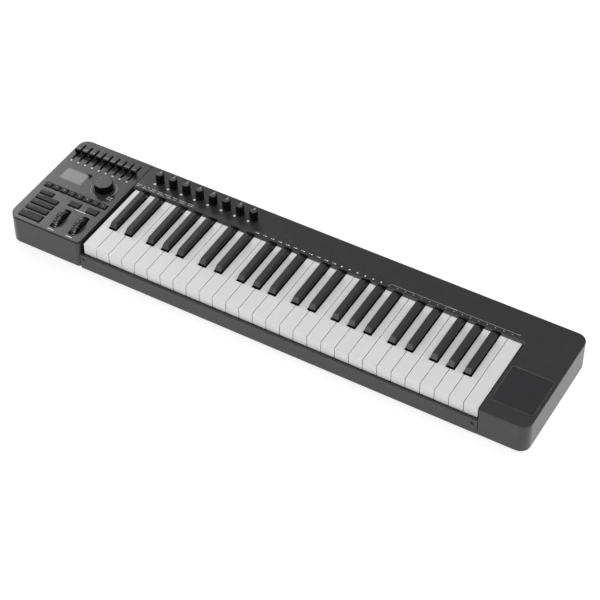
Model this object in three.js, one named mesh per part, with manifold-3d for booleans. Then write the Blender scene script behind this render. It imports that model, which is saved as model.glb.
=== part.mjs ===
// A 49-key keyboard controller, in millimetres, +Z up, +Y away from the player.
// Origin: centre of the footprint, on the surface the feet stand on.
import * as THREE from 'three';
import { mergeVertices } from 'three/addons/utils/BufferGeometryUtils.js';
import Module from 'manifold-3d';

const wasm = await Module();
wasm.setup();

// ---------------------------------------------------------------- case
const CASE_W = 902;
const CASE_D = 210.5;
const CASE_TOP = 55;
const FOOT_H = 3;
const FOOT = { x: 415, y: 80, radius: 9 };
const CORNER_R = 17;
const WALL = 3;
const FLOOR_T = 2.5;
const PLATE_T = 3;
const SEAM = 0.3;
const FRONT_Y = -CASE_D / 2;
const BACK_Y = CASE_D / 2;
const SIDE_X = CASE_W / 2;
const PLATE_Z = CASE_TOP - PLATE_T;
const WALL_TOP = PLATE_Z - SEAM;

// ---------------------------------------------------------------- keys
const KEY_PITCH = 23.5;
const WHITE_COUNT = 29;
const WHITES_PER_OCTAVE = 7;
const OCTAVES = 4;
const KEYS_LEFT = -311;
const KEY_GAP = 0.9;
const KEY_TOP = 52;
const KEY_FRONT_Y = FRONT_Y + 5.5;
const SLAB_T = 6;
const LIP_H = 20.5;
const LIP_T = 2.5;
const SLAB_BACK_Y = 47;
// A black key sits near the right edge of these white keys; the value is its offset from that edge.
const BLACK_OFFSETS = new Map([[0, -2.6], [1, 2.6], [3, -4.1], [4, 0], [5, 3.9]]);
const BLACK_BASE_W = 13;
const BLACK_CLEARANCE = 0.8;
const BLACK_FRONT_Y = KEY_FRONT_Y + 49.5;
const BLACK_BACK_Y = KEY_FRONT_Y + 136;
const BLACK_SLOPE = 6;
const BLACK_RISE_FRONT = 10;
const BLACK_RISE_BACK = 12;
const BLACK_UNDER = 42.5;
// White tails and the rail of each black comb pivot under the deck, one above the other.
const TAIL_Z = [38, 43];
const TAIL_W = 10;
const TAIL_BACK_Y = 71;
const TAIL_FRONT_Y = 40;
const RAIL_Z = [45.5, 49.5];
const RAIL_Y = [52, 66];
const ARM_W = 8;
const SPINE_W = 4;
const SPINE_FRONT_Y = -78;
const BLACK_LEAN = 2.1;

// ---------------------------------------------------------------- keybed chassis
const CHASSIS_FLOOR = { y0: -92, thickness: 2 };
const GUIDE_RAIL = { y0: -86, y1: -80, top: 20 };
const GUIDE = { width: 3, y0: -84.5, y1: -81.5, top: 32 };
const STOP_RAIL = { y0: -30, y1: -24, top: 26 };
const PIVOT_BEAM = { y0: 60, top: TAIL_Z[0] - 1 };
const COMB_POST = { width: 6, y0: 63, y1: 69, top: RAIL_Z[0] - 0.5 };

// ---------------------------------------------------------------- keywell
const WELL_LEFT = KEYS_LEFT - 5;
const WELL_RIGHT = KEYS_LEFT + WHITE_COUNT * KEY_PITCH + 3;
const WELL_CORNER_R = 8;
const CHEEK_T = 2.5;
const LIP_TOP_Y = KEY_FRONT_Y + 148.4;
const LIP_EDGE_Y = KEY_FRONT_Y + 144.9;
const LIP_EDGE_Z = KEY_TOP + 0.4;
const NOTCH_W = 15.6;
const LEDGE_Z = KEY_TOP - LIP_H - 0.2;
const RAIL_FRONT_T = 4.5;
const SCREW_XS = [KEYS_LEFT + 1.9, KEYS_LEFT + 676.4];
const SCREW_Z = 23;
const SCREW_R = 3;
const SCREW_DEPTH = 2;

// ---------------------------------------------------------------- control panel
const CONTROL_GAP = 0.6;
const SHAFT_END = 48.2;
const BOARD_Z = [46, 47.6];
const BOARD_BAND = { x0: -446, x1: -322, y0: -45, y1: 98 };
const BOARD_COLUMN = { x0: -440, x1: -392, y0: -98 };
const BOARD_ARM = { x1: -95, y0: 73.5 };
const FADER_COUNT = 9;
const FADER_PITCH = 13.45;
const FADER_FIRST_X = -439.2;
const FADER_SLOT = { y0: 55.25, y1: 93.25, width: 2.6 };
const FADER_REST_Y = 72;
const FADER_CAP = { width: 9.6, depth: 6, height: 6.6, lift: 2.6 };
const FADER_STEM = { width: 1, depth: 4 };
const WHEEL_XS = [-372.5, -338];
const WHEEL_Y = -72.75;
const WHEEL_R = 24;
const WHEEL_T = 10.5;
const WHEEL_RISE = 10;
const WHEEL_AXLE_R = 3;
const WHEEL_AXLE_L = 16;
const WHEEL_SLOT = { width: 12.6, length: 45, radius: 3 };
const WHEEL_Z = CASE_TOP + WHEEL_RISE - WHEEL_R;
const ENCODER = { x: -353.5, y: 19.25, radius: 15, height: 15, flange: 17.4, shaft: 3 };
const KNOB_COUNT = 8;
const KNOB = { x: -283.5, y: 76.75, pitch: 24.9, radius: 6.9, height: 19.5, shaft: 3 };
const DISPLAY = { x0: -434, x1: -389, y0: 9, y1: 35 };
const TOUCHPAD = { x0: 377.5, x1: 445.5, y0: -78.25, y1: -2.25, radius: 4, depth: 0.6 };

// Buttons: the row of small pads, the left column, and the octave pair, as [x0, x1, y0, y1].
const PAD_COUNT = 8;
const PAD = { x: -435.1, y: -16.35, pitch: 14.96, width: 11.5, depth: 9.5 };
const COLUMN_X0 = -436.5;
const COLUMN_BUTTONS = [
  { width: 22.5, y0: -38.75, y1: -30.45 },
  { width: 39, y0: -51.25, y1: -42.75 },
  { width: 39, y0: -64.45, y1: -55.75 },
  { width: 39, y0: -78.25, y1: -69.45 },
  { width: 39, y0: -96.75, y1: -83.35 },
];
const OCTAVE_BUTTONS = [[-380.8, -362, -40.75, -29.75], [-346.8, -328.5, -40.75, -29.75]];
const BUTTON_PROUD = 2;
const MAT_Z = [50, 51.2];
const MAT_ROW = { x0: -442.5, x1: -324, y0: -43, y1: -8.5 };
const MAT_COLUMN = { x0: -438.5, x1: -394, y0: -98.5 };

// ---------------------------------------------------------------- rear sockets
const SOCKET_BLOCK = { x0: -290, x1: -190, y0: 86, z0: 20, z1: BOARD_Z[0] + 0.5 };
const SOCKET_Z = 33;
const USB_PORT = { x: -274, width: 8.4, height: 7.8, depth: 9 };
const DIN_PORT = { x: -246, radius: 6.8, depth: 6 };
const JACK_PORT = { x: -212, radius: 3.3, depth: 16 };

// ---------------------------------------------------------------- solids
function toSolid(geometry) {
  const bare = geometry.index ? geometry.toNonIndexed() : geometry.clone();
  bare.deleteAttribute('normal');
  bare.deleteAttribute('uv');
  const merged = mergeVertices(bare, 1e-5);
  const vertProperties = new Float32Array(merged.attributes.position.array);
  const triVerts = new Uint32Array(merged.index.array);
  return new wasm.Manifold(new wasm.Mesh({ numProp: 3, vertProperties, triVerts }));
}

function toGeometry(solid) {
  const mesh = solid.getMesh();
  const geometry = new THREE.BufferGeometry();
  geometry.setAttribute('position', new THREE.BufferAttribute(new Float32Array(mesh.vertProperties), 3));
  geometry.setIndex(new THREE.BufferAttribute(new Uint32Array(mesh.triVerts), 1));
  geometry.computeVertexNormals();
  return geometry;
}

function box(x0, x1, y0, y1, z0, z1) {
  const geometry = new THREE.BoxGeometry(x1 - x0, y1 - y0, z1 - z0);
  geometry.translate((x0 + x1) / 2, (y0 + y1) / 2, (z0 + z1) / 2);
  return toSolid(geometry);
}

// A flat outline in X and Y, raised from z0 to z1.
function prism(shape, z0, z1, curveSegments = 6) {
  const geometry = new THREE.ExtrudeGeometry(shape, { depth: z1 - z0, bevelEnabled: false, curveSegments });
  geometry.translate(0, 0, z0);
  return toSolid(geometry);
}

// A side outline in Y and Z, drawn out along X.
function sideProfile(points, x0, x1) {
  const shape = new THREE.Shape(points.map(([y, z]) => new THREE.Vector2(y, z)));
  const geometry = new THREE.ExtrudeGeometry(shape, { depth: x1 - x0, bevelEnabled: false });
  geometry.rotateX(Math.PI / 2);
  geometry.rotateZ(Math.PI / 2);
  geometry.translate(x0, 0, 0);
  return toSolid(geometry);
}

function cylinder(radius, length, segments = 20) {
  return toSolid(new THREE.CylinderGeometry(radius, radius, length, segments));
}

// A round post standing along Z.
function post(x, y, radius, z0, z1, segments = 20) {
  return cylinder(radius, z1 - z0, segments).rotate([90, 0, 0]).translate([x, y, (z0 + z1) / 2]);
}

// A round bore running along Y.
function bore(x, z, radius, y0, y1, segments = 16) {
  return cylinder(radius, y1 - y0, segments).translate([x, (y0 + y1) / 2, z]);
}

function roundedRect(x0, x1, y0, y1, radii) {
  const [frontLeft, frontRight, backRight, backLeft] = radii;
  const shape = new THREE.Shape();
  shape.moveTo(x0 + frontLeft, y0);
  shape.lineTo(x1 - frontRight, y0);
  if (frontRight) shape.absarc(x1 - frontRight, y0 + frontRight, frontRight, -Math.PI / 2, 0);
  shape.lineTo(x1, y1 - backRight);
  if (backRight) shape.absarc(x1 - backRight, y1 - backRight, backRight, 0, Math.PI / 2);
  shape.lineTo(x0 + backLeft, y1);
  if (backLeft) shape.absarc(x0 + backLeft, y1 - backLeft, backLeft, Math.PI / 2, Math.PI);
  shape.lineTo(x0, y0 + frontLeft);
  if (frontLeft) shape.absarc(x0 + frontLeft, y0 + frontLeft, frontLeft, Math.PI, Math.PI * 1.5);
  return shape;
}

function evenRoundedRect(x0, x1, y0, y1, radius) {
  return roundedRect(x0, x1, y0, y1, [radius, radius, radius, radius]);
}

function unite(solids) {
  return solids.reduce((whole, solid) => whole.add(solid));
}

function cut(solid, tools) {
  return tools.reduce((whole, tool) => whole.subtract(tool), solid);
}

function range(count) {
  return Array.from({ length: count }, (_, index) => index);
}

// ---------------------------------------------------------------- key layout
function whiteLeft(index) {
  return KEYS_LEFT + index * KEY_PITCH;
}

// Centre of the black key at the right edge of a white key, or null where there is none.
function blackCentre(index) {
  const offset = BLACK_OFFSETS.get(index % WHITES_PER_OCTAVE);
  if (index < 0 || index >= WHITE_COUNT - 1 || offset === undefined) return null;
  return whiteLeft(index + 1) + offset;
}

function blackCentres() {
  return range(WHITE_COUNT).map(blackCentre).filter((centre) => centre !== null);
}

function whiteEdges(index) {
  const halfNotch = BLACK_BASE_W / 2 + BLACK_CLEARANCE;
  const left = whiteLeft(index) + KEY_GAP / 2;
  const right = whiteLeft(index + 1) - KEY_GAP / 2;
  const blackLeft = blackCentre(index - 1);
  const blackRight = blackCentre(index);
  const backLeft = blackLeft === null ? left : Math.max(left, blackLeft + halfNotch);
  const backRight = blackRight === null ? right : Math.min(right, blackRight - halfNotch);
  return { left, right, backLeft, backRight };
}

function whiteKey(index) {
  const { left, right, backLeft, backRight } = whiteEdges(index);
  const notchY = BLACK_FRONT_Y - BLACK_CLEARANCE;
  const middle = (backLeft + backRight) / 2;
  const halfTail = TAIL_W / 2;
  const slabBottom = KEY_TOP - SLAB_T;
  const slab = unite([
    box(left, right, KEY_FRONT_Y, notchY, slabBottom, KEY_TOP),
    box(backLeft, backRight, notchY - LIP_T, SLAB_BACK_Y, slabBottom, KEY_TOP),
  ]);
  const lip = box(left, right, KEY_FRONT_Y, KEY_FRONT_Y + LIP_T, KEY_TOP - LIP_H, KEY_TOP);
  const halfSpine = SPINE_W / 2;
  const under = KEY_TOP - 1;
  const spine = box(middle - halfSpine, middle + halfSpine, SPINE_FRONT_Y, SLAB_BACK_Y - 1, TAIL_Z[0], under);
  const riser = box(middle - halfTail, middle + halfTail, TAIL_FRONT_Y, SLAB_BACK_Y, TAIL_Z[0], under);
  const tail = box(middle - halfTail, middle + halfTail, TAIL_FRONT_Y + 1, TAIL_BACK_Y, ...TAIL_Z);
  return unite([slab, lip, spine, riser, tail]);
}

// One black key: sloped front, sides leaning in towards a top that widens and rises to the back.
function blackKeyBody(centre) {
  const halfBase = BLACK_BASE_W / 2;
  const frontTopY = BLACK_FRONT_Y + BLACK_SLOPE;
  const topFront = KEY_TOP + BLACK_RISE_FRONT;
  const topBack = KEY_TOP + BLACK_RISE_BACK;
  const side = sideProfile([
    [BLACK_FRONT_Y, BLACK_UNDER],
    [BLACK_BACK_Y, BLACK_UNDER],
    [BLACK_BACK_Y, topBack],
    [frontTopY, topFront],
    [BLACK_FRONT_Y, KEY_TOP + 0.8],
  ], centre - halfBase, centre + halfBase);
  const leftLean = leanCutter(centre, -1);
  const rightLean = leanCutter(centre, 1);
  return cut(side, [leftLean, rightLean]);
}

// The wedge taken off one side of a black key above the white keys' level.
function leanCutter(centre, side) {
  const halfBase = BLACK_BASE_W / 2;
  const reach = BLACK_RISE_BACK + 8;
  const lean = BLACK_LEAN * (reach / BLACK_RISE_BACK);
  const shape = new THREE.Shape([
    new THREE.Vector2(centre + side * halfBase, KEY_TOP),
    new THREE.Vector2(centre + side * (halfBase - lean), KEY_TOP + reach),
    new THREE.Vector2(centre + side * (halfBase + reach), KEY_TOP + reach),
    new THREE.Vector2(centre + side * (halfBase + reach), KEY_TOP),
  ]);
  const length = BLACK_BACK_Y - BLACK_FRONT_Y + 20;
  const geometry = new THREE.ExtrudeGeometry(shape, { depth: length, bevelEnabled: false });
  geometry.rotateX(Math.PI / 2);
  geometry.translate(0, BLACK_BACK_Y + 10, 0);
  return toSolid(geometry);
}

// The five black keys of an octave are one moulding: each key has an arm back to a shared rail.
function blackComb(octave) {
  const first = octave * WHITES_PER_OCTAVE;
  const centres = range(WHITES_PER_OCTAVE).map((step) => blackCentre(first + step)).filter((c) => c !== null);
  const halfBase = BLACK_BASE_W / 2;
  const halfArm = ARM_W / 2;
  const keys = centres.map(blackKeyBody);
  const arms = centres.map((x) => box(x - halfArm, x + halfArm, BLACK_BACK_Y - 3, RAIL_Y[0] + 1, ...RAIL_Z));
  const rail = box(centres[0] - halfBase, centres.at(-1) + halfBase, ...RAIL_Y, ...RAIL_Z);
  return unite([rail, ...keys, ...arms]);
}

// ---------------------------------------------------------------- keybed
function keybedChassis() {
  const left = KEYS_LEFT - 2;
  const right = KEYS_LEFT + WHITE_COUNT * KEY_PITCH + 1;
  const floorZ = FOOT_H + FLOOR_T + SEAM;
  const plate = box(left, right, CHASSIS_FLOOR.y0, TAIL_BACK_Y, floorZ, floorZ + CHASSIS_FLOOR.thickness);
  const guideRail = box(left, right, GUIDE_RAIL.y0, GUIDE_RAIL.y1, floorZ, GUIDE_RAIL.top);
  const stopRail = box(left, right, STOP_RAIL.y0, STOP_RAIL.y1, floorZ, STOP_RAIL.top);
  const pivotBeam = box(left, right, PIVOT_BEAM.y0, TAIL_BACK_Y, floorZ, PIVOT_BEAM.top);
  const guides = range(WHITE_COUNT).map((index) => {
    const x = whiteLeft(index) + KEY_PITCH / 4;
    return box(x - GUIDE.width / 2, x + GUIDE.width / 2, GUIDE.y0, GUIDE.y1, GUIDE_RAIL.top - 1, GUIDE.top);
  });
  return unite([plate, guideRail, stopRail, pivotBeam, ...guides, ...combPosts()]);
}

// Two posts under the rail of each black comb, standing between the white tails.
function combPosts() {
  const centres = blackCentres();
  const perOctave = centres.length / OCTAVES;
  const ends = centres.filter((_, index) => index % perOctave === 0 || index % perOctave === perOctave - 1);
  const { width, y0, y1, top } = COMB_POST;
  return ends.map((x) => box(x - width / 2, x + width / 2, y0, y1, PIVOT_BEAM.top - 1, top));
}

function frontRail() {
  const left = WELL_LEFT + SEAM;
  const right = WELL_RIGHT - SEAM;
  const bar = box(left, right, FRONT_Y, FRONT_Y + RAIL_FRONT_T, FOOT_H, LEDGE_Z);
  const recesses = SCREW_XS.map((x) => bore(x, SCREW_Z, SCREW_R, FRONT_Y - 1, FRONT_Y + SCREW_DEPTH));
  return cut(bar, recesses);
}

// ---------------------------------------------------------------- case parts
function baseTray() {
  const innerR = CORNER_R - WALL;
  const outer = prism(evenRoundedRect(-SIDE_X, SIDE_X, FRONT_Y, BACK_Y, CORNER_R), FOOT_H, WALL_TOP);
  const hollow = prism(
    evenRoundedRect(-SIDE_X + WALL, SIDE_X - WALL, FRONT_Y + WALL, BACK_Y - WALL, innerR),
    FOOT_H + FLOOR_T, WALL_TOP + 1,
  );
  const wellFront = box(WELL_LEFT, WELL_RIGHT, FRONT_Y - 1, FRONT_Y + RAIL_FRONT_T + SEAM, 0, CASE_TOP);
  const { x0, x1, z0 } = SOCKET_BLOCK;
  const socketCut = box(x0 - SEAM, x1 + SEAM, BACK_Y - WALL - 1, BACK_Y + 1, z0 - SEAM, CASE_TOP);
  const cheekZ = FOOT_H + 1;
  const leftCheek = box(WELL_LEFT - CHEEK_T, WELL_LEFT, FRONT_Y + 1, LIP_TOP_Y, cheekZ, WALL_TOP);
  const rightCheek = box(WELL_RIGHT, WELL_RIGHT + CHEEK_T, FRONT_Y + 1, LIP_TOP_Y, cheekZ, WALL_TOP);
  const feet = [-1, 1].flatMap((sx) => [-1, 1].map((sy) => {
    return post(sx * FOOT.x, sy * FOOT.y, FOOT.radius, 0, FOOT_H + 1);
  }));
  const shell = cut(outer, [hollow, wellFront, socketCut]);
  const walls = unite([shell, leftCheek, rightCheek, wellCornerBlock()]);
  return unite([cut(walls, [wellCornerCutter()]), ...wheelPosts(), ...feet]);
}

// The case corner beside the lowest key: a solid block, rounded off to match the control panel.
function wellCornerBlock() {
  return box(WELL_LEFT - WELL_CORNER_R, WELL_LEFT, FRONT_Y, FRONT_Y + WELL_CORNER_R, FOOT_H, WALL_TOP);
}

function wellCornerCutter() {
  const centreX = WELL_LEFT - WELL_CORNER_R;
  const centreY = FRONT_Y + WELL_CORNER_R;
  const corner = box(centreX, WELL_LEFT + 1, FRONT_Y - 1, centreY, FOOT_H - 1, CASE_TOP);
  return corner.subtract(post(centreX, centreY, WELL_CORNER_R, FOOT_H - 2, CASE_TOP + 1, 32));
}

// Upright supports on both sides of each wheel, just under its axle.
function wheelPosts() {
  const reach = WHEEL_AXLE_L / 2;
  const top = WHEEL_Z - WHEEL_AXLE_R - SEAM;
  return WHEEL_XS.flatMap((x) => [-1, 1].map((side) => {
    const inner = x + side * (WHEEL_T / 2 + 0.8);
    const outer = x + side * reach;
    return box(Math.min(inner, outer), Math.max(inner, outer), WHEEL_Y - 5, WHEEL_Y + 5, FOOT_H + 1, top);
  }));
}

function buttonRects() {
  const pads = range(PAD_COUNT).map((index) => {
    const x = PAD.x + index * PAD.pitch;
    return [x - PAD.width / 2, x + PAD.width / 2, PAD.y - PAD.depth / 2, PAD.y + PAD.depth / 2];
  });
  const column = COLUMN_BUTTONS.map(({ width, y0, y1 }) => [COLUMN_X0, COLUMN_X0 + width, y0, y1]);
  return [...pads, ...column, ...OCTAVE_BUTTONS];
}

function faderXs() {
  return range(FADER_COUNT).map((index) => FADER_FIRST_X + index * FADER_PITCH);
}

function controlPanel() {
  const right = WELL_LEFT - SEAM / 2;
  const shape = roundedRect(-SIDE_X, right, FRONT_Y, BACK_Y, [CORNER_R, WELL_CORNER_R, 0, CORNER_R]);
  const plate = prism(shape, PLATE_Z, CASE_TOP);
  const below = PLATE_Z - 1;
  const above = CASE_TOP + 1;
  const faderSlots = faderXs().map((x) => {
    const half = FADER_SLOT.width / 2;
    return box(x - half, x + half, FADER_SLOT.y0, FADER_SLOT.y1, below, above);
  });
  const wheelSlots = WHEEL_XS.map((x) => {
    const halfW = WHEEL_SLOT.width / 2;
    const halfL = WHEEL_SLOT.length / 2;
    const slot = evenRoundedRect(x - halfW, x + halfW, WHEEL_Y - halfL, WHEEL_Y + halfL, WHEEL_SLOT.radius);
    return prism(slot, below, above, 3);
  });
  const buttonHoles = buttonRects().map(([x0, x1, y0, y1]) => box(
    x0 - CONTROL_GAP, x1 + CONTROL_GAP, y0 - CONTROL_GAP, y1 + CONTROL_GAP, below, above,
  ));
  const encoderHole = post(ENCODER.x, ENCODER.y, ENCODER.shaft + 1, below, above, 12);
  const { x0, x1, y0, y1 } = DISPLAY;
  const displayWindow = box(x0 - SEAM, x1 + SEAM, y0 - SEAM, y1 + SEAM, below, above);
  return cut(plate, [...faderSlots, ...wheelSlots, ...buttonHoles, encoderHole, displayWindow]);
}

// The rear deck and the right cheek are one cover, open over the keys.
function mainDeck() {
  const left = WELL_LEFT + SEAM / 2;
  const outline = roundedRect(left, SIDE_X, FRONT_Y, BACK_Y, [0, CORNER_R, CORNER_R, 0]);
  const plate = prism(outline, PLATE_Z, CASE_TOP);
  const well = box(left - 1, WELL_RIGHT, FRONT_Y - 1, LIP_EDGE_Y, PLATE_Z - 1, CASE_TOP + 1);
  const chamfer = sideProfile([
    [LIP_EDGE_Y - 1, PLATE_Z - 1],
    [LIP_EDGE_Y, LIP_EDGE_Z],
    [LIP_TOP_Y, CASE_TOP],
    [LIP_TOP_Y, CASE_TOP + 1],
    [LIP_EDGE_Y - 1, CASE_TOP + 1],
  ], left - 1, WELL_RIGHT);
  const under = box(left - 1, WELL_RIGHT, LIP_EDGE_Y - 1, LIP_TOP_Y, PLATE_Z - 1, LIP_EDGE_Z);
  const notches = blackCentres().map((x) => box(
    x - NOTCH_W / 2, x + NOTCH_W / 2, LIP_EDGE_Y - 1, LIP_TOP_Y, PLATE_Z - 1, CASE_TOP + 1,
  ));
  const shaftHoles = knobXs().map((x) => post(x, KNOB.y, KNOB.shaft + 1, PLATE_Z - 1, CASE_TOP + 1, 12));
  const { x0, x1, y0, y1, radius, depth } = TOUCHPAD;
  const padRecess = prism(evenRoundedRect(x0, x1, y0, y1, radius), CASE_TOP - depth, CASE_TOP + 1, 3);
  return cut(plate, [well, chamfer, under, padRecess, ...notches, ...shaftHoles]);
}

// ---------------------------------------------------------------- electronics
function mainBoard() {
  const { x0, x1, y0, y1 } = BOARD_BAND;
  const band = prism(roundedRect(x0, x1, y0, y1, [0, 0, 0, CORNER_R]), ...BOARD_Z);
  const column = box(BOARD_COLUMN.x0, BOARD_COLUMN.x1, BOARD_COLUMN.y0, y0 + 1, ...BOARD_Z);
  const knobArm = box(x1 - 1, BOARD_ARM.x1, BOARD_ARM.y0, y1, ...BOARD_Z);
  const display = box(DISPLAY.x0, DISPLAY.x1, DISPLAY.y0, DISPLAY.y1, BOARD_Z[1] - 1, CASE_TOP - 0.5);
  return unite([band, column, knobArm, display, socketBlock()]);
}

// A block under the board that closes the notch in the rear wall, with three blind sockets in it.
function socketBlock() {
  const { x0, x1, y0, z0, z1 } = SOCKET_BLOCK;
  const inWall = box(x0, x1, y0, BACK_Y, z0, z1);
  const usb = box(
    USB_PORT.x - USB_PORT.width / 2, USB_PORT.x + USB_PORT.width / 2,
    BACK_Y - USB_PORT.depth, BACK_Y + 1,
    SOCKET_Z - USB_PORT.height / 2, SOCKET_Z + USB_PORT.height / 2,
  );
  const din = bore(DIN_PORT.x, SOCKET_Z, DIN_PORT.radius, BACK_Y - DIN_PORT.depth, BACK_Y + 1);
  const jack = bore(JACK_PORT.x, SOCKET_Z, JACK_PORT.radius, BACK_Y - JACK_PORT.depth, BACK_Y + 1);
  return cut(inWall, [usb, din, jack]);
}

// ---------------------------------------------------------------- controls
function knobXs() {
  return range(KNOB_COUNT).map((index) => KNOB.x + index * KNOB.pitch);
}

// A turned control: skirted cap above the panel and a shaft through it.
function turnedControl({ x, y, radius, height, flange, shaft }, segments) {
  const base = CASE_TOP + CONTROL_GAP;
  const flangeTop = base + 1.2;
  const top = CASE_TOP + height;
  const profile = [
    [0, SHAFT_END],
    [shaft, SHAFT_END],
    [shaft, base],
    [flange, base],
    [flange, flangeTop],
    [radius, flangeTop],
    [radius, top - 0.8],
    [radius - 0.8, top],
    [0, top],
  ].map(([r, z]) => new THREE.Vector2(r, z));
  const geometry = new THREE.LatheGeometry(profile, segments);
  geometry.rotateX(Math.PI / 2);
  geometry.translate(x, y, 0);
  return toSolid(geometry);
}

function knob(index) {
  return turnedControl({ ...KNOB, x: knobXs()[index], flange: KNOB.radius + 0.4 }, 18);
}

function faderCap(index) {
  const x = faderXs()[index];
  const { width, depth, height, lift } = FADER_CAP;
  const bottom = CASE_TOP + lift;
  const top = bottom + height;
  const halfDepth = depth / 2;
  const cap = sideProfile([
    [-halfDepth, bottom],
    [halfDepth, bottom],
    [halfDepth - 0.3, top - 0.3],
    [halfDepth - 0.8, top],
    [0.4, top - 0.5],
    [-1, top],
    [-halfDepth + 0.3, top - 0.9],
  ].map(([y, z]) => [FADER_REST_Y + y, z]), x - width / 2, x + width / 2);
  const halfW = FADER_STEM.width / 2;
  const halfD = FADER_STEM.depth / 2;
  const stem = box(x - halfW, x + halfW, FADER_REST_Y - halfD, FADER_REST_Y + halfD, SHAFT_END, bottom + 1);
  return cap.add(stem);
}

function performanceWheel(x) {
  const bevel = 1;
  const half = WHEEL_T / 2;
  const reach = WHEEL_AXLE_L / 2;
  const profile = [
    [0, -reach],
    [WHEEL_AXLE_R, -reach],
    [WHEEL_AXLE_R, -half],
    [WHEEL_R - bevel, -half],
    [WHEEL_R, -half + bevel],
    [WHEEL_R, half - bevel],
    [WHEEL_R - bevel, half],
    [WHEEL_AXLE_R, half],
    [WHEEL_AXLE_R, reach],
    [0, reach],
  ].map(([r, along]) => new THREE.Vector2(r, along));
  const geometry = new THREE.LatheGeometry(profile, 36);
  geometry.rotateZ(-Math.PI / 2);
  geometry.translate(x, WHEEL_Y, WHEEL_Z);
  return toSolid(geometry);
}

// A soft sheet under the panel that carries every button cap.
function buttonMat() {
  const row = box(MAT_ROW.x0, MAT_ROW.x1, MAT_ROW.y0, MAT_ROW.y1, ...MAT_Z);
  const column = box(MAT_COLUMN.x0, MAT_COLUMN.x1, MAT_COLUMN.y0, MAT_ROW.y0 + 1, ...MAT_Z);
  const capTop = CASE_TOP + BUTTON_PROUD;
  const caps = buttonRects().map(([x0, x1, y0, y1]) => box(x0, x1, y0, y1, MAT_Z[0] + 0.5, capTop));
  return unite([row, column, ...caps]);
}

// ---------------------------------------------------------------- assembly
const PAINTS = {
  shell: { color: 0x7d7d7f, roughness: 0.45, metalness: 0.3 },
  deck: { color: 0x3b3b3c, roughness: 0.5, metalness: 0.1 },
  panel: { color: 0x646465, roughness: 0.5, metalness: 0.2 },
  white: { color: 0xdcdcdc, roughness: 0.35, metalness: 0 },
  black: { color: 0x3f3f3f, roughness: 0.6, metalness: 0 },
  chassis: { color: 0x8c8c88, roughness: 0.6, metalness: 0 },
  rail: { color: 0x4d4d4d, roughness: 0.5, metalness: 0.1 },
  board: { color: 0x2f5a3c, roughness: 0.6, metalness: 0 },
  control: { color: 0x151515, roughness: 0.35, metalness: 0 },
  dial: { color: 0x9a9a9a, roughness: 0.3, metalness: 0.8 },
  buttons: { color: 0x505050, roughness: 0.6, metalness: 0 },
};

function part(name, solid, paint) {
  const mesh = new THREE.Mesh(toGeometry(solid), new THREE.MeshStandardMaterial(PAINTS[paint]));
  mesh.name = name;
  return mesh;
}

function numbered(stem, index) {
  return `${stem}_${String(index + 1).padStart(2, '0')}`;
}

function caseGroup() {
  const group = new THREE.Group();
  group.add(part('base_tray', baseTray(), 'shell'));
  group.add(part('main_deck', mainDeck(), 'deck'));
  group.add(part('control_panel', controlPanel(), 'panel'));
  group.add(part('front_rail', frontRail(), 'rail'));
  group.add(part('main_board', mainBoard(), 'board'));
  return group;
}

function keybedGroup() {
  const group = new THREE.Group();
  group.add(part('keybed_chassis', keybedChassis(), 'chassis'));
  range(WHITE_COUNT).forEach((index) => {
    group.add(part(numbered('white_key', index), whiteKey(index), 'white'));
  });
  range(OCTAVES).forEach((octave) => {
    group.add(part(numbered('black_keys', octave), blackComb(octave), 'black'));
  });
  return group;
}

function controlsGroup() {
  const group = new THREE.Group();
  range(KNOB_COUNT).forEach((index) => {
    group.add(part(numbered('knob', index), knob(index), 'control'));
  });
  range(FADER_COUNT).forEach((index) => {
    group.add(part(numbered('fader', index), faderCap(index), 'control'));
  });
  group.add(part('pitch_wheel', performanceWheel(WHEEL_XS[0]), 'control'));
  group.add(part('mod_wheel', performanceWheel(WHEEL_XS[1]), 'control'));
  group.add(part('menu_encoder', turnedControl(ENCODER, 28), 'dial'));
  group.add(part('button_mat', buttonMat(), 'buttons'));
  return group;
}

const keyboard = new THREE.Group();
keyboard.add(caseGroup(), keybedGroup(), controlsGroup());

export default keyboard;
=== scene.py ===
"""A 49-key keyboard controller: visible pieces, finishes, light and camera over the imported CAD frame.

Mesh code works in millimetres in the row frame (+X to the high keys, +Y away from the player, +Z up),
and each object is scaled to metres when it is made.
"""
import math

import bmesh
import bpy
from mathutils import Matrix, Vector
from mathutils.geometry import tessellate_polygon


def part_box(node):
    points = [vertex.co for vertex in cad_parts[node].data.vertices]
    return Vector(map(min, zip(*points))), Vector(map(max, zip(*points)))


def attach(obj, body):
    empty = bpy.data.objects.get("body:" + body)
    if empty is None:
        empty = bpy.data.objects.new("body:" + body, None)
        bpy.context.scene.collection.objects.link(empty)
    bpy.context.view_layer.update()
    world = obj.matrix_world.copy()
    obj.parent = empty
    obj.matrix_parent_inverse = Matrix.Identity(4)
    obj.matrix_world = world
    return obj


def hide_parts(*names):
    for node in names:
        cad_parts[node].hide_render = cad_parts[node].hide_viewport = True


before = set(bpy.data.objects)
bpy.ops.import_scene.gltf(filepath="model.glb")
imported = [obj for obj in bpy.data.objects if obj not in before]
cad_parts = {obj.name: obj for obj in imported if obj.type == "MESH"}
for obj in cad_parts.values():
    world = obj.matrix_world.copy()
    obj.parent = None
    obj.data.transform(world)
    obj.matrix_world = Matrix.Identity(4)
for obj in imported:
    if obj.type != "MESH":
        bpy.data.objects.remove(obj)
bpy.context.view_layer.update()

MM = 0.001


def box_mm(node):
    """Lowest and highest corner of a CAD node, in millimetres."""
    low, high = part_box(node)
    return low / MM, high / MM


def middle_mm(node):
    """The middle of a CAD node's box, in millimetres."""
    low, high = box_mm(node)
    return [(a + b) / 2 for a, b in zip(low, high)]


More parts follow.
